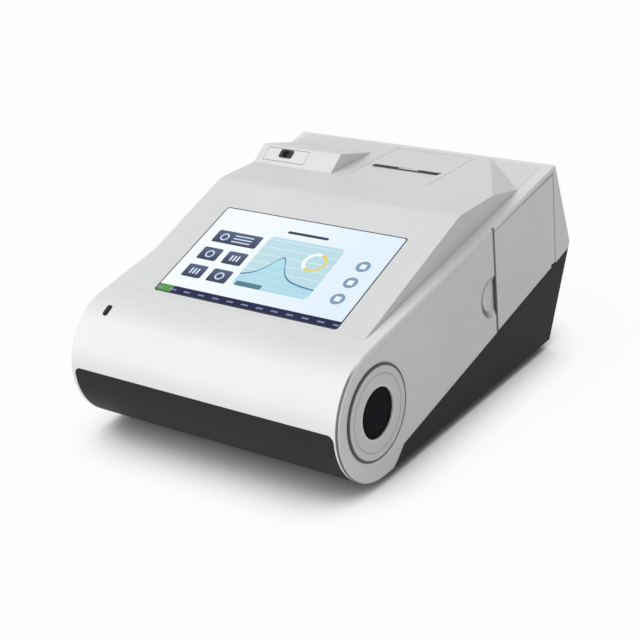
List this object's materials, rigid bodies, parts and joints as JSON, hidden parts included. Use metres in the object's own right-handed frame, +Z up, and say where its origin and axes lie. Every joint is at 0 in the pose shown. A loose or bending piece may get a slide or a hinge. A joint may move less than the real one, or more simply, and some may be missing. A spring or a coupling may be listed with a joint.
{
  "type": "portable blood gas analyzer",
  "caption": "Portable bench-top blood gas analyzer with a sloped touch screen over a round front, a side scanner window, a cartridge slot, a printer and a side door.",
  "frame": {"origin": "centre of the bounding box on the plane the feet stand on", "axes": "+X to the user's right, where the scanner window is; +Y to the back; +Z up"},
  "size_m": [0.238, 0.315, 0.1538],
  "materials": {
    "white_shell": "light grey-white, fine satin",
    "grey_shell": "light grey, fine satin",
    "charcoal_base": "charcoal, fine texture",
    "cap_grey": "mid grey, satin",
    "dark_window": "near-black tinted window",
    "cover_glass": "clear cover glass",
    "display": "bright panel",
    "black_plastic": "black",
    "cartridge_white": "white moulded plastic",
    "black_rubber": "soft black",
    "chip": "sensor ceramic",
    "steel": "plain steel",
    "head_aluminium": "plain",
    "gear_plastic": "natural acetal",
    "thermal_paper": "plain thermal paper",
    "core_card": "plain",
    "pack_plastic": "translucent blue",
    "board_green": "board laminate",
    "port_metal": "plated shell",
    "battery_blue": "shrink wrap",
    "magnet": "plated magnet"
  },
  "bodies": {
    "chassis": {"base_tray": "charcoal_base", "upper_housing": "white_shell", "display_platform": "grey_shell", "touch_glass": "cover_glass", "display_panel": "display", "scanner_bezel": "cap_grey", "scanner_window": "dark_window", "scanner_module": "black_plastic", "left_end_cap": "cap_grey", "speaker": "black_plastic", "key_board": "board_green", "cartridge_hood": "grey_shell", "cartridge_guide": "black_plastic", "contact_block": "head_aluminium", "printer_bezel": "grey_shell", "tear_bar": "steel", "lid_pin": "steel", "paper_bucket": "black_plastic", "printer_frame": "steel", "print_head": "head_aluminium", "printer_motor": "port_metal", "door_pin": "steel", "calibrant_bay": "black_plastic", "door_magnet": "magnet", "calibrant_probe": "steel", "rear_panel": "black_plastic", "lan_port": "port_metal", "usb_ports": "port_metal", "dc_inlet": "black_plastic", "rubber_feet": "black_rubber", "battery_cover": "charcoal_base", "battery_pack": "battery_blue", "main_board": "board_green"},
    "power_key": {"power_key": "black_plastic"},
    "cartridge": {"cartridge_body": "cartridge_white", "sample_port": "black_rubber", "sensor_chip": "chip"},
    "printer_lid": {"printer_lid": "grey_shell"},
    "paper": {"paper_roll": "thermal_paper", "paper_core": "core_card"},
    "platen": {"platen_shaft": "steel", "platen_roller": "black_rubber", "platen_gear": "gear_plastic"},
    "idler": {"idler_gear": "gear_plastic"},
    "pinion": {"motor_pinion": "gear_plastic"},
    "door": {"calibrant_door": "white_shell", "door_strike": "steel"},
    "pack": {"calibrant_pack": "pack_plastic", "pack_septum": "black_rubber"}
  },
  "joints": [
    {"name": "power_key_press", "type": "slide", "parent": "chassis", "child": "power_key", "axis": [0, 0.4772, -0.8788], "range_m": [0, 0.0008], "stiffness_N_per_m": 300, "springref_m": -0.001},
    {"name": "cartridge_slide", "type": "slide", "parent": "chassis", "child": "cartridge", "axis": [0, -0.9609, 0.277], "range_m": [0, 0.045]},
    {"name": "printer_lid_hinge", "type": "hinge", "parent": "chassis", "child": "printer_lid", "pos_m": [0.017, 0.1287, 0.14051], "axis": [-1, 0, 0], "range_deg": [0, 95]},
    {"name": "paper_roll_spin", "type": "hinge", "parent": "chassis", "child": "paper", "pos_m": [0.017, 0.1089, 0.12054], "axis": [1, 0, 0], "continuous": true},
    {"name": "platen_spin", "type": "hinge", "parent": "chassis", "child": "platen", "pos_m": [0.017, 0.0826, 0.13364], "axis": [1, 0, 0], "continuous": true},
    {"name": "idler_spin", "type": "hinge", "parent": "chassis", "child": "idler", "pos_m": [0.049, 0.07442, 0.1239], "axis": [1, 0, 0], "continuous": true},
    {"name": "pinion_spin", "type": "hinge", "parent": "chassis", "child": "pinion", "pos_m": [0.049, 0.07168, 0.11364], "axis": [1, 0, 0], "continuous": true},
    {"name": "calibrant_door_hinge", "type": "hinge", "parent": "chassis", "child": "door", "pos_m": [0.1165, 0.1315, 0.1], "axis": [0, 0, 1], "range_deg": [0, 100]},
    {"name": "calibrant_pack_slide", "type": "slide", "parent": "chassis", "child": "pack", "axis": [1, 0, 0], "range_m": [0, 0.021]}
  ],
  "couplings": [
    {"joint": "idler_spin", "follows": "platen_spin", "ratio": -0.8},
    {"joint": "pinion_spin", "follows": "platen_spin", "ratio": 1.6},
    {"joint": "calibrant_pack_slide", "follows": "calibrant_door_hinge", "m_per_rad": 0.012}
  ]
}
